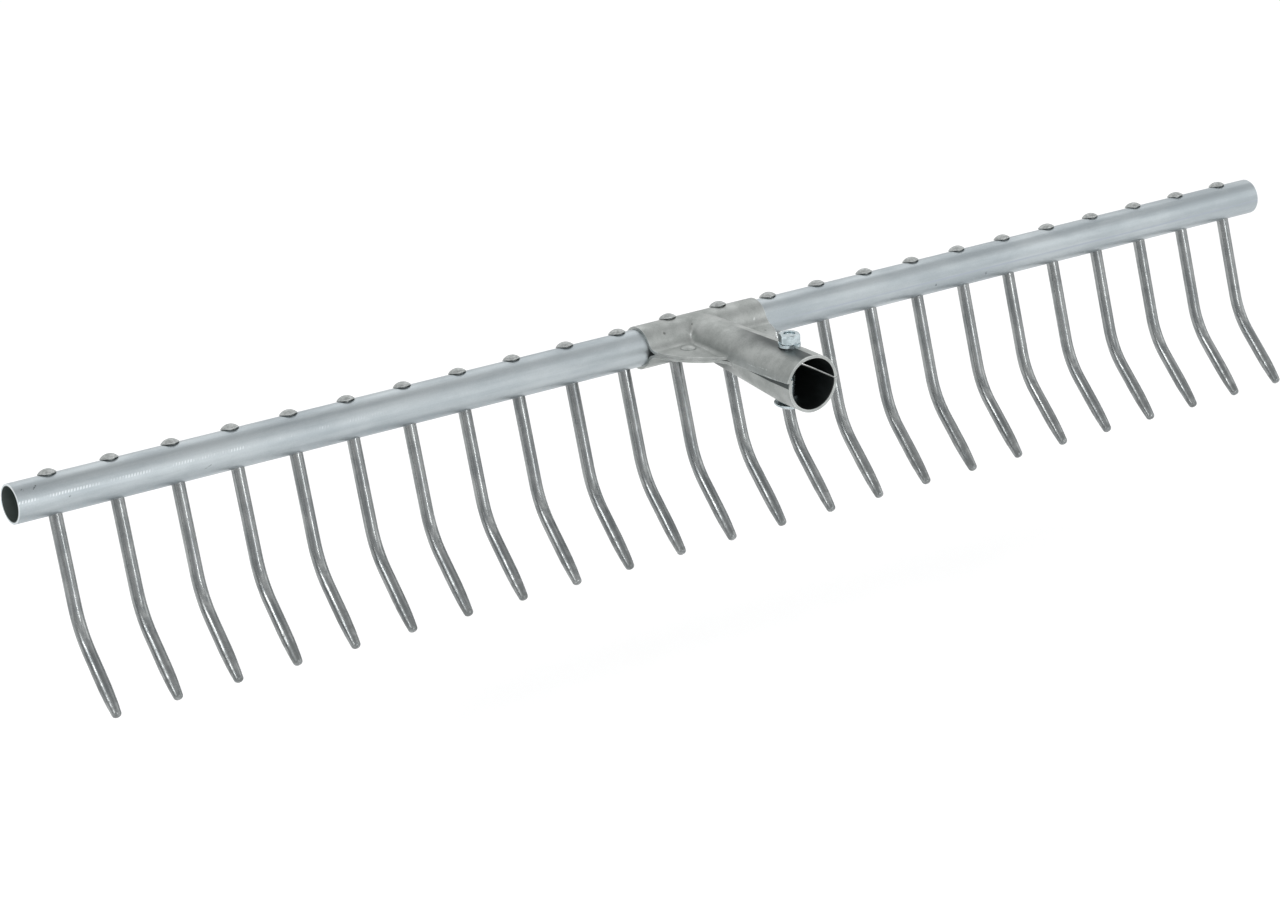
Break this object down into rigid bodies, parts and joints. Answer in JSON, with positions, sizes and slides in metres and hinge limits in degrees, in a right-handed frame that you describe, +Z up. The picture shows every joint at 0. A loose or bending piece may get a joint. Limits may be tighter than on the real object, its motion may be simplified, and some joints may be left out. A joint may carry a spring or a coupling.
{
  "type": "hay rake head",
  "caption": "Hay rake head: galvanised crossbar tube with riveted bent tines and a folded sheet socket that clamps a round wooden handle.",
  "frame": {"origin": "centre of the handle socket's mouth, on the bore's axis", "axes": "+X along the crossbar, -Y out of the socket's mouth along the handle, +Z up out of the tines' heads"},
  "size_m": [0.802, 0.1128, 0.1197],
  "materials": {
    "tube_zinc": "galvanised steel tube, cool grey, satin, faint drawn bands along its length",
    "tine_zinc": "galvanised round bar, darker grey, bright streaks, rubbed at the tips",
    "socket_zinc": "pressed galvanised sheet, matte warm grey, scuffed along its folds",
    "bolt_zinc": "bright zinc-plated fasteners, bluish"
  },
  "bodies": {
    "root": {"crossbar_tube": "tube_zinc", "tine_01": "tine_zinc", "tine_02": "tine_zinc", "tine_03": "tine_zinc", "tine_04": "tine_zinc", "tine_05": "tine_zinc", "tine_06": "tine_zinc", "tine_07": "tine_zinc", "tine_08": "tine_zinc", "tine_09": "tine_zinc", "tine_10": "tine_zinc", "tine_11": "tine_zinc", "tine_12": "tine_zinc", "tine_13": "tine_zinc", "tine_14": "tine_zinc", "tine_15": "tine_zinc", "tine_16": "tine_zinc", "tine_17": "tine_zinc", "tine_18": "tine_zinc", "tine_19": "tine_zinc", "tine_20": "tine_zinc", "tine_21": "tine_zinc", "tine_22": "tine_zinc", "tine_23": "tine_zinc", "tine_24": "tine_zinc", "handle_socket": "socket_zinc", "flange_rivet_left": "socket_zinc", "flange_rivet_right": "socket_zinc", "clamp_bolt": "bolt_zinc", "clamp_nut": "bolt_zinc", "lock_washer": "bolt_zinc"}
  },
  "joints": []
}
